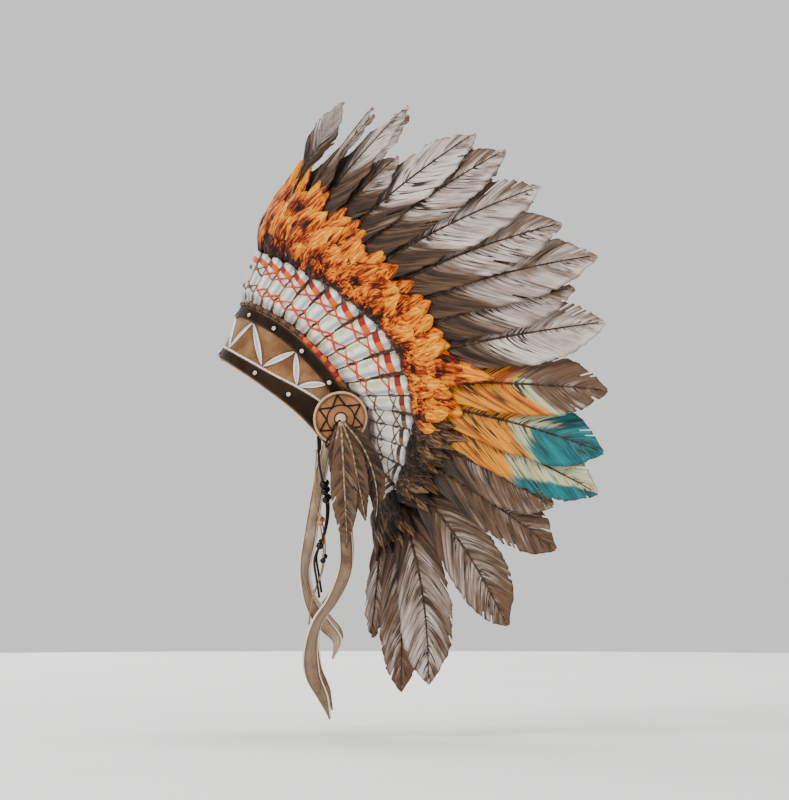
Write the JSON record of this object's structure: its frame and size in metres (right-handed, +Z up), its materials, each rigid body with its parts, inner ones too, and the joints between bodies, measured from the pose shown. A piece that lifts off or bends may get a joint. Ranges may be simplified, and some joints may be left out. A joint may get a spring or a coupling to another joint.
{
  "type": "feathered headdress",
  "caption": "Plains-style feather bonnet: a soft cap with a quilled brow band, a flared ring of long feathers in wrapped quills, orange plumes, rosettes and hanging side drops.",
  "frame": {"origin": "inside of the cap at the middle of its crown, where the wearer's head holds the headdress up", "axes": "+Z up as worn, -Y the way the wearer looks, +X to the wearer's left; the headdress mirrors about the YZ plane"},
  "size_m": [0.4824, 0.3875, 0.6228],
  "materials": {
    "band_leather": "tan smoked leather, worn paler along its edges",
    "dark_leather": "dark brown leather with pearly studs",
    "pale_leather": "soft pale suede ribbon",
    "cap_felt": "matt brown felt",
    "wrap_cloth": "cream cloth wraps with orange lacing and orange and dark red bands",
    "feather": "grey-brown mottled feather with a dark shaft, some dyed orange and teal",
    "plume": "fluffy orange dyed plumes",
    "quillwork": "flattened pale blue-grey quills",
    "beaded_roll": "rolled edge sewn with orange, dark red and brown beads",
    "black_bead": "glossy black beads on a dark thong"
  },
  "bodies": {
    "root": {"cap": "cap_felt", "brow_band": "band_leather", "band_edge_upper": "dark_leather", "band_edge_lower": "dark_leather", "quill_zigzag": "quillwork", "top_roll": "beaded_roll", "wrap_collar": "wrap_cloth", "plume_ring": "plume", "rosette_left": "band_leather", "rosette_right": "band_leather", "drop_feathers_left": "feather", "drop_feathers_right": "feather", "ribbon_long_left": "pale_leather", "ribbon_long_right": "pale_leather", "ribbon_short_left": "pale_leather", "ribbon_short_right": "pale_leather", "bead_string_left": "black_bead", "bead_string_right": "black_bead", "crown_feather_left_01": "feather", "crown_feather_left_02": "feather", "crown_feather_left_03": "feather", "crown_feather_left_04": "feather", "crown_feather_left_05": "feather", "crown_feather_left_06": "feather", "crown_feather_left_07": "feather", "crown_feather_left_08": "feather", "crown_feather_left_09": "feather", "crown_feather_left_10": "feather", "crown_feather_left_11": "feather", "crown_feather_left_12": "feather", "crown_feather_left_13": "feather", "crown_feather_left_14": "feather", "crown_feather_left_15": "feather", "crown_feather_left_16": "feather", "crown_feather_left_17": "feather", "crown_feather_left_18": "feather", "crown_feather_left_19": "feather", "crown_feather_left_20": "feather", "crown_feather_right_01": "feather", "crown_feather_right_02": "feather", "crown_feather_right_03": "feather", "crown_feather_right_04": "feather", "crown_feather_right_05": "feather", "crown_feather_right_06": "feather", "crown_feather_right_07": "feather", "crown_feather_right_08": "feather", "crown_feather_right_09": "feather", "crown_feather_right_10": "feather", "crown_feather_right_11": "feather", "crown_feather_right_12": "feather", "crown_feather_right_13": "feather", "crown_feather_right_14": "feather", "crown_feather_right_15": "feather", "crown_feather_right_16": "feather", "crown_feather_right_17": "feather", "crown_feather_right_18": "feather", "crown_feather_right_19": "feather", "crown_feather_right_20": "feather"}
  },
  "joints": []
}
